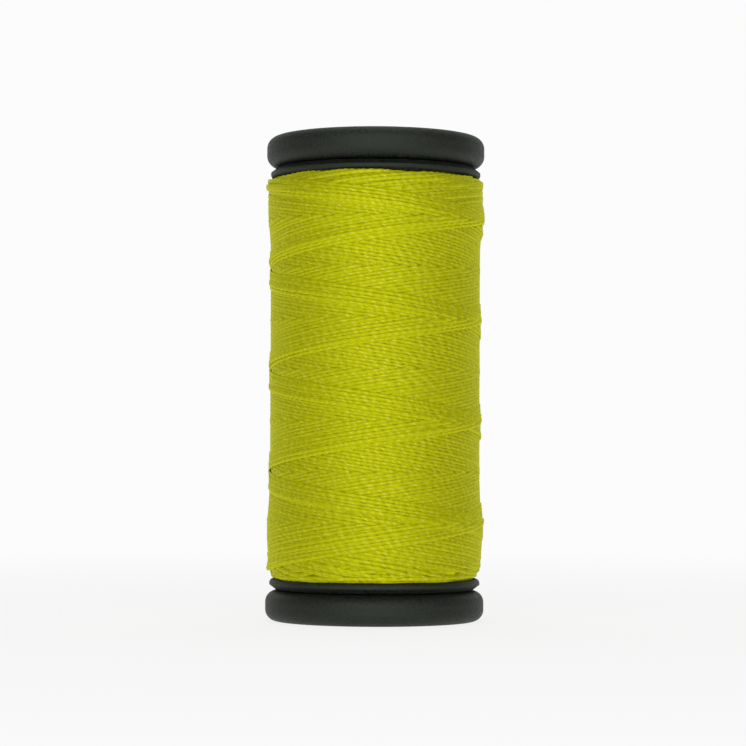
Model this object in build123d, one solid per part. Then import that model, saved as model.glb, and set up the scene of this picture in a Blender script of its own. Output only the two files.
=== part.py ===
from build123d import *
import os

# Spool of sewing thread with two snap caps.
# Millimetres, +Z up. The origin is on the spool's axis, in the plane it stands on.
# Each end is the same: a cap whose sleeve plugs into the barrel, and which pulls out
# a little way along the axis so that a thread end can be laid in the gap and gripped.
# Only the lower end is drawn; the upper end is the same mouldings turned over.

# ---- Driving dimensions -------------------------------------------------------------
overall_height = 55.0
cap_radius = 12.4
cap_thickness = 3.45          # from the end face to the face that meets the barrel
core_radius = 9.5             # the tube that the thread is wound on
pin_hole_radius = 4.0         # takes a sewing machine's spool pin
snap_travel = 1.5             # how far each cap pulls out

# ---- Cap ----------------------------------------------------------------------------
cap_edge_round = 1.3
pin_hole_chamfer = 0.3
end_plate = 1.4               # thickness of the plate across the end of the cap
hub_radius = 5.0
hub_height = 8.0
sleeve_clearance = 0.06       # radial, between the cap's sleeve and the barrel's bore
sleeve_wall = 0.9
sleeve_top = 9.4
bead_height = 0.28            # how far the snap bead stands out of the sleeve
bead_land = 0.35
bead_lead_in = 0.45
slot_count = 4                # slots let the sleeve flex, and the barrel's keys ride in them
slot_width = 1.5
web_width = 0.8               # webs brace the hub inside the cap
web_height = 3.0

# ---- Label recess and label ---------------------------------------------------------
recess_inner = 5.1
recess_outer = 10.2
recess_depth = 0.15
label_margin = 0.15
label_thickness = 0.12

# ---- Barrel -------------------------------------------------------------------------
bore_radius = 8.3
bore_chamfer = 0.25
key_width = 1.2
key_depth = 0.8
key_end_gap = 0.35
groove_clearance = 0.1        # round the snap bead, in the groove cut for it
flange_radius = 11.95
flange_round = 0.5            # on the thread side of the rim
flange_face = 4.8             # height of the face that the thread lies against
bevel_top = 4.12              # the bevel runs from the rim into the thread gap
bevel_mouth = 3.58
bevel_mouth_radius = 11.25
seat_radius = 9.4             # the flat end of the barrel, where the cap seats

# ---- Thread winding -----------------------------------------------------------------
winding_gap = 0.02            # between the winding's solid and the barrel's
winding_radius = 12.0
shoulder_radius = 12.3        # the winding is fuller near its ends, where the thread turns
shoulder_length = 2.2
shoulder_fade = 9.0
winding_end_radius = 11.4
winding_end_length = 0.8

axis_z = Axis.Z
mid_height = overall_height / 2
turnover_axis = Axis((0, 0, mid_height), (1, 0, 0))
sleeve_radius = bore_radius - sleeve_clearance


def turned(corners):
    """A solid turned about Z. Each corner is (radius, height) or (radius, height, rounding)."""
    face = make_face(Polyline([corner[:2] for corner in corners], close=True))
    for corner in corners:
        if len(corner) == 3:
            radius, height, rounding = corner
            vertex = face.vertices().sort_by_distance((radius, height, 0))[0]
            face = fillet(vertex, rounding)
    return revolve(Plane.XZ * face, axis_z)


def spokes(count, inner, outer, width, bottom, top, first_angle=0):
    """Radial bars between two radii, evenly spaced round the axis."""
    bar = Pos((inner + outer) / 2, 0, (bottom + top) / 2) * Box(outer - inner, width, top - bottom)
    return [Rot(0, 0, first_angle + turn * 360 / count) * bar for turn in range(count)]


def snap_cap():
    """The lower cap, with its end face at height 0."""
    bead_radius = sleeve_radius + bead_height
    bead_top = sleeve_top - bead_lead_in
    bead_bottom = bead_top - bead_land
    sleeve_inner = sleeve_radius - sleeve_wall
    cap = turned([
        (pin_hole_radius + pin_hole_chamfer, 0),
        (pin_hole_radius, pin_hole_chamfer),
        (pin_hole_radius, hub_height),
        (hub_radius, hub_height),
        (hub_radius, end_plate),
        (sleeve_inner, end_plate),
        (sleeve_inner, sleeve_top),
        (sleeve_radius - bead_height, sleeve_top),
        (bead_radius, bead_top),
        (bead_radius, bead_bottom),
        (sleeve_radius, bead_bottom - bead_height),
        (sleeve_radius, cap_thickness),
        (cap_radius, cap_thickness, cap_edge_round),
        (cap_radius, 0, cap_edge_round),
        (recess_outer, 0),
        (recess_outer, recess_depth),
        (recess_inner, recess_depth),
        (recess_inner, 0),
    ])
    slots = spokes(slot_count, sleeve_inner - 0.5, bead_radius + 0.5, slot_width,
                   cap_thickness, sleeve_top + 0.5)
    webs = spokes(slot_count, hub_radius - 0.2, sleeve_inner + 0.2, web_width,
                  end_plate - 0.2, end_plate + web_height, first_angle=180 / slot_count)
    return cap + webs - slots


def label():
    """The lower cap's stick-on label, in its recess."""
    inner = recess_inner + label_margin
    outer = recess_outer - label_margin
    bottom = recess_depth - label_thickness
    return turned([(inner, bottom), (outer, bottom), (outer, recess_depth), (inner, recess_depth)])


def spool_barrel():
    """The tube, its two flanges, the snap grooves and the keys, in one moulding."""
    groove_radius = sleeve_radius + bead_height + groove_clearance
    groove_ramp = groove_radius - bore_radius
    groove_top = sleeve_top + groove_clearance
    groove_bottom = sleeve_top - bead_lead_in - bead_land - bead_height - snap_travel - groove_clearance
    lower_half = turned([
        (bore_radius + bore_chamfer, cap_thickness),
        (seat_radius, cap_thickness),
        (bevel_mouth_radius, bevel_mouth),
        (flange_radius, bevel_top),
        (flange_radius, flange_face, flange_round),
        (core_radius, flange_face),
        (core_radius, mid_height),
        (bore_radius, mid_height),
        (bore_radius, groove_top + groove_ramp),
        (groove_radius, groove_top),
        (groove_radius, groove_bottom + groove_ramp),
        (bore_radius, groove_bottom),
        (bore_radius, cap_thickness + bore_chamfer),
    ])
    key_bottom = cap_thickness + key_end_gap
    keys = spokes(slot_count, bore_radius - key_depth, core_radius - 0.4, key_width,
                  key_bottom, overall_height - key_bottom)
    return lower_half + lower_half.rotate(turnover_axis, 180) + keys


def thread_winding():
    """The wound thread as one ring that fills the barrel between its flanges."""
    bottom = flange_face + winding_gap
    lower_side = [
        (winding_end_radius, bottom),
        (winding_radius, bottom + winding_end_length),
        (shoulder_radius, bottom + shoulder_length),
        (winding_radius, bottom + shoulder_fade),
    ]
    upper_side = [(radius, overall_height - height) for radius, height in reversed(lower_side)]
    inner = core_radius + winding_gap
    return turned([(inner, bottom)] + lower_side + upper_side + [(inner, overall_height - bottom)])


def export_node(shape, name):
    shape.label = name
    export_step(shape, f"parts/{name}.step")


os.makedirs("parts", exist_ok=True)
lower_cap = snap_cap()
lower_label = label()
export_node(spool_barrel(), "spool_barrel")
export_node(thread_winding(), "thread_winding")
export_node(lower_cap, "lower_cap")
export_node(lower_cap.rotate(turnover_axis, 180), "upper_cap")
export_node(lower_label, "lower_label")
export_node(lower_label.rotate(turnover_axis, 180), "upper_label")
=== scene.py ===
from math import ceil, floor, pi, radians

import bpy
import numpy as np
from mathutils import Euler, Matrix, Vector


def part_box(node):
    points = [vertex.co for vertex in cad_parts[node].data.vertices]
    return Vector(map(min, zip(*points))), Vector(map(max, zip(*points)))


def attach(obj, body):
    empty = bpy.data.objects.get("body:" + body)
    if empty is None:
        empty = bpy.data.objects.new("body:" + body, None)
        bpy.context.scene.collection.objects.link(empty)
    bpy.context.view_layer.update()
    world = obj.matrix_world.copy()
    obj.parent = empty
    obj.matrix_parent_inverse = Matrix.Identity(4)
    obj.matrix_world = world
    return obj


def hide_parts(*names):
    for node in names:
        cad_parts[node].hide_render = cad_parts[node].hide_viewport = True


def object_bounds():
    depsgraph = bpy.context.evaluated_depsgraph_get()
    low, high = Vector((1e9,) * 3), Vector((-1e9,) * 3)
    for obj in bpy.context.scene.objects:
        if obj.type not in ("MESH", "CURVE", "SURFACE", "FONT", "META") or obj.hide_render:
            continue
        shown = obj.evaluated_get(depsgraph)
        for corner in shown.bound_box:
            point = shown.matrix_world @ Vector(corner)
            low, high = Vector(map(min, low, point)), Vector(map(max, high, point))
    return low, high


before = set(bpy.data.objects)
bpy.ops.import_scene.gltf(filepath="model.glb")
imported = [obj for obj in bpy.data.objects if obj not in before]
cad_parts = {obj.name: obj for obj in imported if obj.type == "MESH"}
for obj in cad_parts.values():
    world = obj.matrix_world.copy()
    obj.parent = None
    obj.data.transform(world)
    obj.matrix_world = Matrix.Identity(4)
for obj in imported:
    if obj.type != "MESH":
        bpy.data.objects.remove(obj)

# A spool of cross-wound sewing thread. The caps, the barrel and the labels are the CAD's own
# shapes with detailed materials. The winding is wound here, turn by turn, as one thread.

MM = 0.001
cad_low, cad_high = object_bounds()
spool_height = cad_high.z
winding_low, winding_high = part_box("thread_winding")
barrel_low, barrel_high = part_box("spool_barrel")
cap_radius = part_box("lower_cap")[1].x
flange_radius = barrel_high.x

# ---- The thread, in millimetres -----------------------------------------------------

thread_core = 0.31            # the firm width, which holds up a thread that crosses it
thread_width = 0.52           # the soft width: the fibres of neighbours meet
thread_height = 0.14
ply_count = 3
ply_relief = 0.13             # how far crests and valleys of the plies stand out and in, as a share
twist_length = 3.0            # along the thread, for one turn of its twist
twist_variation = 0.35        # the twist is tighter and looser along the thread, by about this share
twist_patch = 2.0             # and over about this length
strand_sides = 2 * ply_count  # a crest and a valley for each ply
rings_per_step = 2            # of the strand's mesh, in each step of the winding
rings_per_piece = 16000       # at most, so that no span of the strand is too heavy to export whole

# ---- The winding, in millimetres and turns of the spool -----------------------------

steps_per_turn = 240
pitch = 11.4                  # climb of the thread in one turn of the spool
thread_spacing = 0.385        # between neighbours of one layer, along the spool
passes_below = 29             # double strokes that make one full layer each way
ribbon_passes = 5             # the last few double strokes lie side by side on top of the rest
passes_on_top = passes_below + ribbon_passes
turns_per_double_stroke = 8 + thread_spacing / pitch
half_turns = turns_per_double_stroke / 2
face_gap = 0.02               # between the CAD's winding and the flanges' faces
face_low = winding_low.z / MM - face_gap
face_high = winding_high.z / MM + face_gap
guide_low = face_low + 0.6                  # ends of the thread guide's sharp zigzag
guide_high = guide_low + pitch * half_turns
last_turn_angle = -0.25       # where the last stroke ends: turns from the front, to the right
sharpest_round = 0.005        # how early the guide turns back at the end of a stroke, in turns
round_variation = 0.085
low_slide = 0.5               # how far the turns at each end of a stroke slide down
high_slide = 1.15
low_slide_reach = 1.3
high_slide_reach = 2
wander_cycles = (2, 3, 5, 9, 14)
wander_size = 0.014           # about how far a stroke wanders slowly to each side
stroke_shift = 0.01           # and about how far the whole of it is shifted
wander_fade = 0.3             # turns at each end of a stroke over which the wandering fades
slip_fade = 0.4               # turns at each end of a stroke where the thread slips more easily
most_slip = 0.03
slip_window = 6               # steps over which a slip is smoothed
crossing_squash = 0.06        # how far a thread beds into the ones below it
loose_passes = 10             # the last double strokes bed in less and less: little presses on them

# ---- The package that the thread is wound on, in millimetres ------------------------

start_radius = 11.62          # before the layers that are wound here
low_shoulder = 0.33           # the package is fuller near its ends, where the thread turns back
high_shoulder = 0.34
low_draw = 0.75               # and draws in at the flanges
high_draw = 0.9
draw_reach = 0.7
flange_round = 0.5
height_cell = 0.05            # of the map of the package's radius: a column for each step of a turn
no_contact = -1e3             # stands for the thread's underside at map cells that it doesn't cover
map_low = face_low
map_high = face_high + 0.42   # the last turns ride up on the upper flange's round
map_rows = int(round((map_high - map_low) / height_cell)) + 1
skin_inner_radius = 9.6       # just outside the barrel's tube
skin_depth = 0.05             # the layers below are drawn this much lower than they are wound
skin_cells = 3                # map cells to one row of their mesh


def bump_at(values, middle, reach):
    """A smooth bump of height 1."""
    return np.exp(-(((values - middle) / reach) ** 2))


def wave(rng, count, cycles, size):
    """Slow random wandering along a stroke."""
    along = np.linspace(0, 1, count)
    total = sum(rng.normal() * np.cos(2 * pi * (cycle * along + rng.random())) for cycle in cycles)
    return size * total / len(cycles) ** 0.5


def smoothed(values, reach):
    """Each row of values averaged over a soft window that reaches so many samples each way."""
    window = np.hanning(2 * reach + 3)[1:-1]
    window /= window.sum()
    padded = np.pad(values, [(0, 0)] * (values.ndim - 1) + [(reach, reach)], mode="edge")
    return np.apply_along_axis(lambda row: np.convolve(row, window, "valid"), -1, padded)


def guide_height(above_low, low_round, high_round):
    """Height of the thread, above_low turns from the low end of a stroke.

    The rounds say how early the guide turns back at each end, in turns. The two ends are blended
    over the middle of the stroke, where they agree but for their rounds.
    """
    near_low = guide_low + pitch * np.sqrt(above_low**2 + low_round**2)
    near_high = guide_high - pitch * np.sqrt((half_turns - above_low) ** 2 + high_round**2)
    share = np.clip((above_low / half_turns - 0.3) / 0.4, 0, 1)
    return near_low * (1 - share) + near_high * share


def slid_down(heights):
    """The turns near the lower flange slide down to it. The upper flange holds the turns near it down."""
    at_low = low_slide * np.exp(-(heights - guide_low) / low_slide_reach)
    at_high = high_slide * np.exp(-(guide_high - heights) / high_slide_reach)
    return heights - at_low - at_high


def footprint(surface, heights, columns):
    """The map cells under a thread, the arch of its underside, and the radius it would rest at."""
    half_width = thread_core / 2
    reach = ceil(half_width / height_cell)
    centre = (heights - map_low) / height_cell
    offsets = np.arange(-reach, reach + 2)
    cells = np.clip(np.floor(centre).astype(int)[:, None] + offsets, 0, map_rows - 1)
    aside = (cells - centre[:, None]) * height_cell / half_width
    arch = thread_height / 2 * np.sqrt(np.clip(1 - aside**2, 0, 1))
    arch[np.abs(aside) >= 1] = no_contact
    return cells, arch, (surface[cells, columns[:, None]] + arch).max(1)


def taut(angle, support):
    """The radius of a taut thread over its supports: it runs straight from one to the next.

    A straight line leaves a circle by about half its radius times the angle squared. With that
    taken off, a straight run is a straight line on the map, and the taut thread is its upper hull.
    """
    bend = support.mean() / 2
    lifted = support - bend * angle**2
    touching = [0]
    for here in range(1, len(angle)):
        while len(touching) > 1:
            first, second = touching[-2:]
            slope_to_second = (lifted[second] - lifted[first]) * (angle[here] - angle[first])
            slope_to_here = (lifted[here] - lifted[first]) * (angle[second] - angle[first])
            if slope_to_second > slope_to_here:
                break
            touching.pop()
        touching.append(here)
    return np.interp(angle, angle[touching], lifted[touching]) + bend * angle**2


def settle(surface, heights, columns, free):
    """Heights after the thread slips sideways, a little, to where it lies lowest.

    Free is 0 at the end of a stroke, where the thread can't slip, and 1 well away from it.
    """
    slips = np.linspace(-most_slip, most_slip, 5)
    rests = np.array([footprint(surface, heights + slip, columns)[2] for slip in slips])
    grip = np.where(free < 1, 3, 6)
    cost = smoothed(rests, slip_window) + slips[:, None] ** 2 * grip
    slip = smoothed(slips[cost.argmin(0)], slip_window)
    slip *= np.clip(8 * free, 0, 1)
    return np.clip(heights + slip, map_low + thread_core / 2, map_high - thread_core / 2)


def lay(surface, steps, heights, angle, squash):
    """Lays one stretch of thread on the package and returns its radius."""
    columns = steps % steps_per_turn
    cells, arch, support = footprint(surface, heights, columns)
    radius = smoothed(taut(angle, support), 3) - squash
    laid = np.where(arch > no_contact, radius[:, None] + arch, 0)
    np.maximum.at(surface, (cells, np.repeat(columns[:, None], cells.shape[1], 1)), laid)
    return radius


def start_profile(heights):
    """Radius of the package before the layers that are wound here, and of the upper flange's round."""
    above_low = heights - face_low
    below_high = face_high - heights
    package = (
        start_radius
        + low_shoulder * bump_at(above_low, middle=5.2, reach=3.4)
        + high_shoulder * bump_at(below_high, middle=3.2, reach=3.2)
        - low_draw * np.exp(-np.clip(above_low, 0, None) / draw_reach)
        - high_draw * np.exp(-np.clip(below_high, 0, None) / draw_reach)
    )
    into_round = np.clip(flange_round + below_high, 0, flange_round)
    round_radius = flange_radius / MM - flange_round + np.sqrt(flange_round**2 - into_round**2)
    return np.where(below_high < 0, round_radius, package)


def wind():
    """Winds the package. Gives the radius map under the top layers, and the top layers' path.

    The path is one array of step number, height and radius, from the first top turn to the last.
    """
    rng = np.random.default_rng(7)
    start_radii = start_profile(map_low + height_cell * np.arange(map_rows))
    surface = np.repeat(start_radii[:, None], steps_per_turn, 1)
    passes = passes_below + passes_on_top
    low_rounds = sharpest_round + round_variation * rng.random(passes + 1)
    high_rounds = sharpest_round + round_variation * rng.random(passes + 1)
    pass_turns = np.full(passes, turns_per_double_stroke)
    pass_turns[-ribbon_passes - 1] -= ribbon_passes * thread_spacing / pitch
    starts = np.cumsum(pass_turns) - pass_turns - pass_turns.sum()
    below = None
    path = []
    for number in range(passes):
        if number == passes_below:
            below = surface.copy()
        squash = crossing_squash * min(1, (passes - number) / loose_passes)
        stroke_turns = pass_turns[number] / 2
        for stroke in (0, 1):
            start = starts[number] + stroke * stroke_turns
            first_step = ceil(start * steps_per_turn)
            last_step = floor((start + stroke_turns) * steps_per_turn)
            steps = np.arange(first_step, last_step + 1)
            turned = steps / steps_per_turn - start
            from_end = np.minimum(turned, stroke_turns - turned)
            risen = turned if stroke == 0 else stroke_turns - turned
            above_low = risen * half_turns / stroke_turns
            guided = guide_height(above_low, low_rounds[number + stroke], high_rounds[number])
            wander = wave(rng, len(steps), wander_cycles, wander_size) + rng.normal() * stroke_shift
            heights = slid_down(guided) + wander * np.clip(from_end / wander_fade, 0, 1)
            free = np.clip(from_end / slip_fade, 0, 1)
            heights = settle(surface, heights, steps % steps_per_turn, free)
            radius = lay(surface, steps, heights, 2 * pi * turned, squash)
            if number >= passes_below:
                path.append(np.array([steps, heights, radius]))
    path.append(closing_turns(surface, path[-1][1, -1]))
    return below, np.concatenate(path, 1)


def closing_turns(surface, last_height):
    """The last turns lie along the lower flange. The end goes over its rim into the snap gap."""
    flange_turns = 1.65
    over_rim = 0.09
    in_gap = 0.2
    sink_turns = 0.6              # from the end of the last stroke down to the flange
    lap_spacing = 0.32            # the first lap lies so far above the second
    lap_end = 1.15                # by here it has come down to the flange
    lap_shift = 0.3               # over so many turns
    steps = np.arange(1, int(flange_turns * steps_per_turn))
    turned = steps / steps_per_turn
    sink = np.clip(turned / sink_turns, 0, 1)
    sink = sink**2 * (3 - 2 * sink)
    lowest = face_low + thread_core / 2 + 0.04
    beside = lowest + lap_spacing * np.clip(lap_end - turned, 0, lap_shift) / lap_shift
    heights = last_height + (beside - last_height) * sink
    radius = lay(surface, steps, heights, 2 * pi * turned, crossing_squash)
    rim = flange_radius / MM + thread_height / 2
    gap_height = barrel_low.z / MM
    rim_path = [                  # share of the way over the rim, height, radius
        (0, heights[-1], radius[-1]),
        (0.3, face_low + 0.08, rim - 0.2),
        (0.45, face_low - 0.25, rim),
        (0.6, face_low - 0.65, rim),
        (0.85, gap_height + 0.25, rim - 0.4),
        (1, gap_height + 0.16, rim - 0.55),
    ]
    share, rim_height, rim_radius = np.array(rim_path).T
    rest = np.arange(steps[-1] + 1, steps[-1] + int((over_rim + in_gap) * steps_per_turn))
    crossed = np.clip((rest - rest[0]) / (over_rim * steps_per_turn), 0, 1)
    tail = [smoothed(np.interp(crossed, share, values), 2) for values in (rim_height, rim_radius)]
    return np.concatenate([[steps, heights, radius], [rest, *tail]], 1)


# ---- Meshes of the winding ----------------------------------------------------------

def spool_angle(steps):
    """Angle round the spool: 0 at the front, and positive to the right."""
    return 2 * pi * (steps / steps_per_turn + last_turn_angle)


def around(angle, radius, height):
    """Points in millimetres, as an array of x, y, z rows, for angles from the front."""
    return np.stack([radius * np.sin(angle), -radius * np.cos(angle), height], -1)


def quad_mesh(name, points, quads):
    """A smooth mesh object of quads. Points are in millimetres."""
    mesh = bpy.data.meshes.new(name)
    mesh.vertices.add(len(points))
    mesh.vertices.foreach_set("co", (points * MM).astype(np.float32).ravel())
    mesh.loops.add(quads.size)
    mesh.loops.foreach_set("vertex_index", quads.astype(np.int32).ravel())
    mesh.polygons.add(len(quads))
    mesh.polygons.foreach_set("loop_start", np.arange(0, quads.size, 4, dtype=np.int32))
    mesh.polygons.foreach_set("use_smooth", np.ones(len(quads), dtype=bool))
    mesh.update(calc_edges=True)
    made = bpy.data.objects.new(name, mesh)
    bpy.context.scene.collection.objects.link(made)
    return made


def unit(vectors):
    return vectors / np.linalg.norm(vectors, axis=-1, keepdims=True)


def strand_rings(centres, turn, crest):
    """A ring of points round each centre, wider than it is high."""
    outward = unit(centres * np.array([1, 1, 0]))
    forward = unit(np.gradient(centres, axis=0))
    sideways = unit(np.cross(outward, forward))
    return (
        centres[:, None]
        + (thread_height / 2 * crest * np.cos(turn))[..., None] * outward[:, None]
        + (thread_width / 2 * crest * np.sin(turn))[..., None] * sideways[:, None]
    )


def strand_quads(count):
    """The quads between so many rings, then those of the two ends, round the centres after the rings."""
    side = np.arange(strand_sides)
    next_side = (side + 1) % strand_sides
    ring = np.arange(count - 1)[:, None] * strand_sides
    next_ring = ring + strand_sides
    walls = np.stack([ring + side, ring + next_side, next_ring + next_side, next_ring + side], -1)
    crest = np.arange(0, strand_sides, 2)
    next_crest = (crest + 2) % strand_sides
    first_centre = np.full(ply_count, count * strand_sides)
    first_end = np.stack([first_centre, next_crest, crest + 1, crest], -1)
    last_ring = (count - 1) * strand_sides
    last_end = np.stack([first_centre + 1, last_ring + crest, last_ring + crest + 1,
                         last_ring + next_crest], -1)
    return np.concatenate([walls.reshape(-1, 4), first_end, last_end])


def add_corner_values(strand, name, values, end_values):
    """Stores one number per face corner, for the material to read. Values has a row for each ring."""
    ahead = np.roll(values, -1, axis=1)
    walls = np.stack([values[:-1], ahead[:-1], ahead[1:], values[1:]], -1)
    ends = np.repeat(end_values, ply_count)[:, None] + np.zeros(4)
    layer = strand.data.attributes.new(name, "FLOAT", "CORNER")
    layer.data.foreach_set("value", np.concatenate([walls.reshape(-1, 4), ends]).astype(np.float32).ravel())


def thread_tube(name, centres, along, twist):
    """A closed three-ply strand along the centres: its mesh lines wind round it with the plies."""
    count = len(centres)
    side = np.arange(strand_sides)
    crest = np.where(side % 2 == 0, 1 + ply_relief, 1 - ply_relief)
    turn = 2 * pi * (side / strand_sides - twist[:, None])
    rings = strand_rings(centres, turn, crest)
    points = np.concatenate([rings.reshape(-1, 3), centres[[0, -1]]])
    made = quad_mesh(name, points, strand_quads(count))
    add_corner_values(made, "along", np.repeat(along[:, None], strand_sides, 1), along[[0, -1]])
    add_corner_values(made, "crest", np.repeat((crest[None] - 1) / ply_relief, count, 0), [0, 0])
    add_corner_values(made, "facing", np.cos(turn), [0, 0])
    return made


def package_skin(name, below):
    """The layers under the top ones, as one closed ring with their relief."""
    inside = int((face_high - map_low) / height_cell)
    picked = below[:inside:skin_cells]
    heights = map_low + height_cell * skin_cells * np.arange(len(picked))
    inner = np.full(steps_per_turn, skin_inner_radius)
    radii = np.vstack([inner, picked - skin_depth, inner])
    levels = np.concatenate([[heights[0]], heights, [heights[-1]]])
    levels = np.repeat(levels[:, None], steps_per_turn, 1)
    column = np.arange(steps_per_turn)
    points = around(spool_angle(column)[None], radii, levels).reshape(-1, 3)
    next_column = (column + 1) % steps_per_turn
    row = np.arange(len(radii))[:, None] * steps_per_turn
    next_row = np.roll(row, -1)
    quads = np.stack([row + column, row + next_column, next_row + next_column, next_row + column], -1)
    return quad_mesh(name, points, quads.reshape(-1, 4))


# ---- Materials ----------------------------------------------------------------------

def new_material(name):
    """A material with its node tree and its Principled shader."""
    made = bpy.data.materials.new(name)
    made.use_nodes = True
    return made, made.node_tree, made.node_tree.nodes["Principled BSDF"]


def node(tree, kind, settings=(), **values):
    """A shader node: settings are (property, value) pairs, values are its inputs by name."""
    made = tree.nodes.new(kind)
    for key, value in settings:
        setattr(made, key, value)
    for key, value in values.items():
        made.inputs[key.replace("_", " ")].default_value = value
    return made


def thread_material():
    """Spun polyester, lime green: painted lighter on its sides than on its outer face, against the shade
    between strands, with painted highlights in dashes on the outer crests.

    The strand's mesh says how far along it a point is, whether it is on a ply's crest, and which way
    it faces: 1 is outwards.
    """
    made, tree, shader = new_material("lime_thread")
    shader.inputs["Roughness"].default_value = 0.6
    shader.inputs["Metallic"].default_value = 0.55
    shader.inputs["Sheen Weight"].default_value = 0.2
    shader.inputs["Sheen Roughness"].default_value = 0.4
    shader.inputs["Sheen Tint"].default_value = (0.8, 0.85, 0.03, 1)
    shader.inputs["Specular IOR Level"].default_value = 0.3
    shader.inputs["Specular Tint"].default_value = (1, 1, 0.3, 1)
    shader.inputs["Subsurface Weight"].default_value = 0.8
    shader.inputs["Subsurface Radius"].default_value = (1, 1, 0.2)
    shader.inputs["Subsurface Scale"].default_value = 0.4 * MM
    crest = node(tree, "ShaderNodeAttribute", [("attribute_name", "crest")])
    along = node(tree, "ShaderNodeAttribute", [("attribute_name", "along")])
    facing = node(tree, "ShaderNodeAttribute", [("attribute_name", "facing")])
    # Painted fill: the sides are coloured lighter than the outer face to offset the shade in the grooves
    # between strands.
    body = node(tree, "ShaderNodeValToRGB")
    body.color_ramp.elements[0].position = 0.2
    body.color_ramp.elements[0].color = (0.725, 0.755, 0.0006, 1)
    body.color_ramp.elements[1].position = 0.95
    body.color_ramp.elements[1].color = (0.43, 0.45, 0.0004, 1)
    # Painted highlights: the outward-facing ply crests are coloured pale, in dashes that noise breaks up
    # along the thread.
    highlight_noise = node(tree, "ShaderNodeTexNoise", [("noise_dimensions", "1D")], Scale=1.3, Detail=3.0)
    highlight_breaks = node(tree, "ShaderNodeMapRange", From_Min=0.4, From_Max=0.62, To_Min=0.0, To_Max=1.0)
    painted_highlight = node(tree, "ShaderNodeMath", [("operation", "MULTIPLY"), ("use_clamp", True)])
    outermost = node(tree, "ShaderNodeMapRange", From_Min=0.4, From_Max=0.95)
    lit_crest = node(tree, "ShaderNodeMath", [("operation", "MULTIPLY"), ("use_clamp", True)])
    colours = node(tree, "ShaderNodeMix", [("data_type", "RGBA")])
    # The pale colour of the painted highlights.
    colours.inputs["B"].default_value = (0.68, 0.605, 0.08, 1)
    tree.links.new(facing.outputs["Fac"], body.inputs["Fac"])
    tree.links.new(along.outputs["Fac"], highlight_noise.inputs["W"])
    tree.links.new(highlight_noise.outputs["Fac"], highlight_breaks.inputs["Value"])
    tree.links.new(facing.outputs["Fac"], outermost.inputs["Value"])
    tree.links.new(crest.outputs["Fac"], lit_crest.inputs[0])
    tree.links.new(outermost.outputs["Result"], lit_crest.inputs[1])
    tree.links.new(lit_crest.outputs[0], painted_highlight.inputs[0])
    tree.links.new(highlight_breaks.outputs["Result"], painted_highlight.inputs[1])
    tree.links.new(painted_highlight.outputs[0], colours.inputs["Factor"])
    tree.links.new(body.outputs["Color"], colours.inputs["A"])
    tree.links.new(colours.outputs["Result"], shader.inputs["Base Color"])
    return made


def deep_thread_material():
    """The layers seen between the top turns, in fine streaks round the spool, painted lighter than the top
    turns' outer faces as painted fill against the shade between the turns.
    """
    made, tree, shader = new_material("lime_thread_below")
    shader.inputs["Roughness"].default_value = 0.75
    shader.inputs["Specular IOR Level"].default_value = 0.0
    place = node(tree, "ShaderNodeTexCoord")
    stretch = node(tree, "ShaderNodeMapping")
    stretch.inputs["Scale"].default_value = (1200, 1200, 9000)
    grain = node(tree, "ShaderNodeTexNoise", Scale=1.0, Detail=3.0)
    colours = node(tree, "ShaderNodeValToRGB")
    # Both streak colours are painted fill: lighter than the top turns' outer faces, against the shade
    # between the turns.
    colours.color_ramp.elements[0].color = (0.72, 0.74, 0.001, 1)
    colours.color_ramp.elements[1].color = (0.84, 0.85, 0.003, 1)
    tree.links.new(place.outputs["Object"], stretch.inputs["Vector"])
    tree.links.new(stretch.outputs["Vector"], grain.inputs["Vector"])
    tree.links.new(grain.outputs["Fac"], colours.inputs["Fac"])
    tree.links.new(colours.outputs["Color"], shader.inputs["Base Color"])
    return made


def plastic_material():
    """Black moulded plastic, faintly green. Its fine grain varies its shade, gloss and relief."""
    made, tree, shader = new_material("black_plastic")
    shader.inputs["IOR"].default_value = 1.5
    shader.inputs["Specular Tint"].default_value = (0.89, 1, 0.85, 1)
    shader.inputs["Specular IOR Level"].default_value = 0.4
    place = node(tree, "ShaderNodeTexCoord")
    grain = node(tree, "ShaderNodeTexNoise", Scale=5000.0, Detail=2.0)
    gloss = node(tree, "ShaderNodeMapRange", From_Min=0.35, From_Max=0.65, To_Min=0.48, To_Max=0.72)
    tint = node(tree, "ShaderNodeValToRGB")
    tint.color_ramp.elements[0].position = 0.42
    tint.color_ramp.elements[0].color = (0.0005, 0.0009, 0.0004, 1)
    tint.color_ramp.elements[1].position = 0.62
    tint.color_ramp.elements[1].color = (0.0105, 0.0125, 0.0085, 1)
    bump = node(tree, "ShaderNodeBump", Strength=1.0, Distance=0.075 * MM)
    tree.links.new(place.outputs["Object"], grain.inputs["Vector"])
    tree.links.new(grain.outputs["Fac"], gloss.inputs["Value"])
    tree.links.new(gloss.outputs["Result"], shader.inputs["Roughness"])
    tree.links.new(grain.outputs["Fac"], tint.inputs["Fac"])
    tree.links.new(tint.outputs["Color"], shader.inputs["Base Color"])
    tree.links.new(grain.outputs["Fac"], bump.inputs["Height"])
    tree.links.new(bump.outputs["Normal"], shader.inputs["Normal"])
    return made


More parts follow.
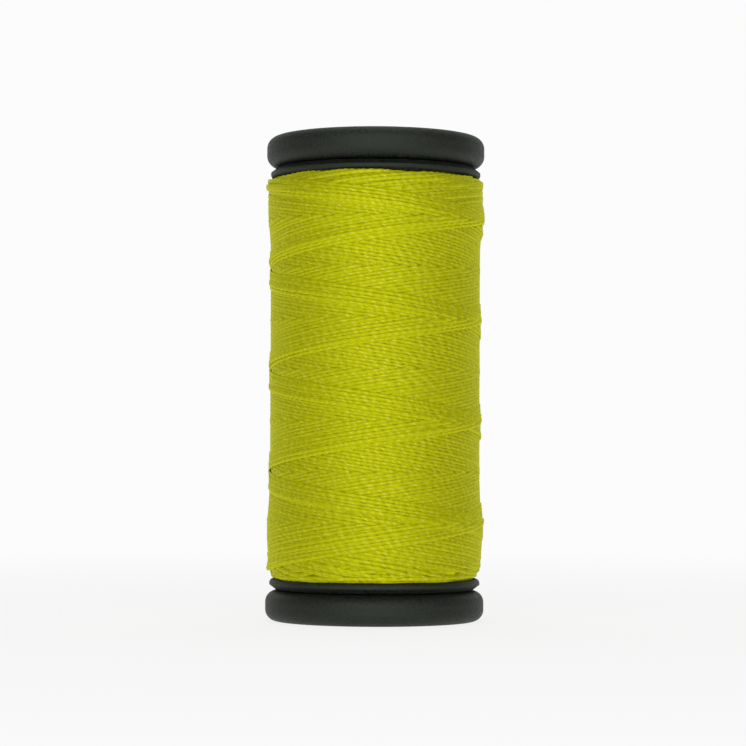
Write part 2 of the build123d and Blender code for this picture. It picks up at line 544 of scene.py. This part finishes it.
def label_material():
    """Matt white paper with its fibres, and a lime ring printed on it. There is no lettering."""
    made, tree, shader = new_material("label_paper")
    shader.inputs["Roughness"].default_value = 0.8
    shader.inputs["Specular IOR Level"].default_value = 0.3
    place = node(tree, "ShaderNodeTexCoord")
    flat = node(tree, "ShaderNodeVectorMath", [("operation", "MULTIPLY")])
    flat.inputs[1].default_value = (1, 1, 0)
    from_axis = node(tree, "ShaderNodeVectorMath", [("operation", "LENGTH")])
    fibres = node(tree, "ShaderNodeTexNoise", Scale=2500.0, Detail=6.0, Roughness=0.7, Distortion=1.5)
    ragged = node(tree, "ShaderNodeMapRange", To_Min=-0.06 * MM, To_Max=0.06 * MM)
    radius = node(tree, "ShaderNodeMath", [("operation", "ADD")])
    share = node(tree, "ShaderNodeMath", [("operation", "DIVIDE")])
    share.inputs[1].default_value = cap_radius
    rings = node(tree, "ShaderNodeValToRGB")
    rings.color_ramp.interpolation = "CONSTANT"
    for element in rings.color_ramp.elements:
        element.color = (0.80, 0.80, 0.76, 1)
    rings.color_ramp.elements[1].position = 0.74
    lime = rings.color_ramp.elements.new(0.66)
    lime.color = (0.44, 0.45, 0.012, 1)
    tone = node(tree, "ShaderNodeMapRange", From_Min=0.3, From_Max=0.7, To_Min=0.82, To_Max=1.0)
    printed = node(tree, "ShaderNodeVectorMath", [("operation", "SCALE")])
    relief = node(tree, "ShaderNodeBump", Strength=0.4, Distance=0.02 * MM)
    tree.links.new(place.outputs["Object"], flat.inputs[0])
    tree.links.new(place.outputs["Object"], fibres.inputs["Vector"])
    tree.links.new(flat.outputs["Vector"], from_axis.inputs[0])
    tree.links.new(fibres.outputs["Fac"], ragged.inputs["Value"])
    tree.links.new(from_axis.outputs["Value"], radius.inputs[0])
    tree.links.new(ragged.outputs["Result"], radius.inputs[1])
    tree.links.new(radius.outputs[0], share.inputs[0])
    tree.links.new(share.outputs[0], rings.inputs["Fac"])
    tree.links.new(fibres.outputs["Fac"], tone.inputs["Value"])
    tree.links.new(rings.outputs["Color"], printed.inputs[0])
    tree.links.new(tone.outputs["Result"], printed.inputs["Scale"])
    tree.links.new(printed.outputs["Vector"], shader.inputs["Base Color"])
    tree.links.new(fibres.outputs["Fac"], relief.inputs["Height"])
    tree.links.new(relief.outputs["Normal"], shader.inputs["Normal"])
    return made


def paint(name, material):
    """Gives a CAD node its material."""
    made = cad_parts[name]
    made.data.materials.clear()
    made.data.materials.append(material)


# ---- The object ---------------------------------------------------------------------

def add_to_winding(piece, material):
    """Puts a piece of the winding on the barrel, in place of the CAD's plain ring."""
    piece.data.materials.append(material)
    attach(piece, "barrel")
    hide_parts("thread_winding")


def build_winding():
    """The layers below as one piece, and the strand on top of them as a few long spans."""
    below, path = wind()
    knots = np.arange(path.shape[1])
    rings = np.arange(rings_per_step * (path.shape[1] - 1) + 1) / rings_per_step
    steps, heights, radii = (np.interp(rings, knots, row) for row in path)
    centres = around(spool_angle(steps), smoothed(radii, 2), smoothed(heights, 2))
    run = np.linalg.norm(np.diff(centres, axis=0), axis=1)
    along = np.concatenate([[0], np.cumsum(run)])
    unevenness = np.random.default_rng(3).normal(size=int(along[-1] / twist_patch) + 2)
    patch = np.arange(len(unevenness))
    tightness = 1 + twist_variation * np.interp(along / twist_patch, patch, unevenness)
    twist = np.concatenate([[0], np.cumsum(run * tightness[1:])]) / twist_length
    spans = ceil(len(centres) / rings_per_piece)
    edges = np.linspace(0, len(centres) - 1, spans + 1).astype(int)
    material = thread_material()
    for number in range(spans):
        part = slice(edges[number], edges[number + 1] + 1)
        span = thread_tube(f"thread_top_{number + 1}", centres[part], along[part], twist[part])
        add_to_winding(span, material)
    add_to_winding(package_skin("thread_below", below), deep_thread_material())


# ---- Studio -------------------------------------------------------------------------

backdrop_white = (0.97, 0.97, 0.97, 1)


def build_floor():
    """A pale floor that fades into the backdrop away from the spool. It lies just under the end face."""
    mesh = bpy.data.meshes.new("floor")
    reach = 50 * spool_height
    level = -0.02 * MM
    signs = [(-1, -1), (1, -1), (1, 1), (-1, 1)]
    mesh.from_pydata([(x * reach, y * reach, level) for x, y in signs], [], [(0, 1, 2, 3)])
    floor_sheet = bpy.data.objects.new("floor", mesh)
    bpy.context.scene.collection.objects.link(floor_sheet)
    made, tree, shader = new_material("floor")
    shader.inputs["Base Color"].default_value = (0.8, 0.8, 0.8, 1)
    shader.inputs["Roughness"].default_value = 0.9
    glow = node(tree, "ShaderNodeEmission", Color=backdrop_white, Strength=1.0)
    place = node(tree, "ShaderNodeTexCoord")
    away = node(tree, "ShaderNodeVectorMath", [("operation", "LENGTH")])
    fade = node(tree, "ShaderNodeMapRange", [("interpolation_type", "SMOOTHSTEP")],
                From_Min=0.3 * spool_height, From_Max=4.0 * spool_height, To_Min=0.85)
    mix = node(tree, "ShaderNodeMixShader")
    tree.links.new(place.outputs["Object"], away.inputs[0])
    tree.links.new(away.outputs["Value"], fade.inputs["Value"])
    tree.links.new(fade.outputs["Result"], mix.inputs[0])
    tree.links.new(shader.outputs["BSDF"], mix.inputs[1])
    tree.links.new(glow.outputs["Emission"], mix.inputs[2])
    tree.links.new(mix.outputs["Shader"], tree.nodes["Material Output"].inputs["Surface"])
    mesh.materials.append(made)


def build_world():
    """A white backdrop to look at. The spool is lit by it from behind, and more softly from the front."""
    world = bpy.data.worlds.new("studio")
    bpy.context.scene.world = world
    world.use_nodes = True
    tree = world.node_tree
    ambient = tree.nodes["Background"]
    ambient.inputs["Color"].default_value = (0.96, 1, 0.94, 1)
    direction = node(tree, "ShaderNodeTexCoord")
    split = node(tree, "ShaderNodeSeparateXYZ")
    towards_backdrop = node(tree, "ShaderNodeMapRange", [("interpolation_type", "SMOOTHSTEP")],
                            From_Min=0.2, From_Max=0.8, To_Min=0.14, To_Max=0.9)
    tree.links.new(direction.outputs["Generated"], split.inputs[0])
    tree.links.new(split.outputs["Y"], towards_backdrop.inputs["Value"])
    tree.links.new(towards_backdrop.outputs["Result"], ambient.inputs["Strength"])
    backdrop = node(tree, "ShaderNodeBackground", Color=backdrop_white, Strength=1.0)
    rays = node(tree, "ShaderNodeLightPath")
    mix = node(tree, "ShaderNodeMixShader")
    tree.links.new(rays.outputs["Is Camera Ray"], mix.inputs[0])
    tree.links.new(ambient.outputs["Background"], mix.inputs[1])
    tree.links.new(backdrop.outputs["Background"], mix.inputs[2])
    tree.links.new(mix.outputs["Shader"], tree.nodes["World Output"].inputs["Surface"])


def softbox(name, place, aim, width, height, power):
    """A wide area light at place, pointing at aim."""
    light = bpy.data.lights.new(name, "AREA")
    light.shape = "RECTANGLE"
    light.size = width
    light.size_y = height
    light.energy = power
    made = bpy.data.objects.new(name, light)
    made.location = place
    made.rotation_mode = "QUATERNION"
    made.rotation_quaternion = (Vector(aim) - Vector(place)).to_track_quat("-Z", "Y")
    bpy.context.scene.collection.objects.link(made)


def build_lights():
    """One soft light from above and behind, and a wide one from the front."""
    middle = (0, 0, spool_height / 2)
    softbox("top", place=(0, 0.1, 0.6), aim=middle, width=0.3, height=0.3, power=0.9)
    softbox("key", place=(-0.01, -0.6, 0.2), aim=middle, width=1.1, height=0.5, power=4.2)


def build_camera():
    """At the height of the spool's lower third, looking slightly up."""
    tilt_up = radians(1.712)
    roll = radians(-0.2)
    data = bpy.data.cameras.new("camera")
    data.lens = 126
    data.sensor_width = 36
    camera = bpy.data.objects.new("camera", data)
    camera.location = (-0.2 * MM, -24 * cap_radius, 0.35 * spool_height)
    camera.rotation_euler = Euler((pi / 2 + tilt_up, roll, 0))
    bpy.context.scene.collection.objects.link(camera)
    bpy.context.scene.camera = camera


build_winding()
plastic = plastic_material()
for plastic_node in ("spool_barrel", "upper_cap", "lower_cap"):
    paint(plastic_node, plastic)
paper = label_material()
for label_node in ("upper_label", "lower_label"):
    paint(label_node, paper)
build_floor()
build_world()
build_lights()
build_camera()
bpy.context.scene.view_settings.view_transform = "Standard"
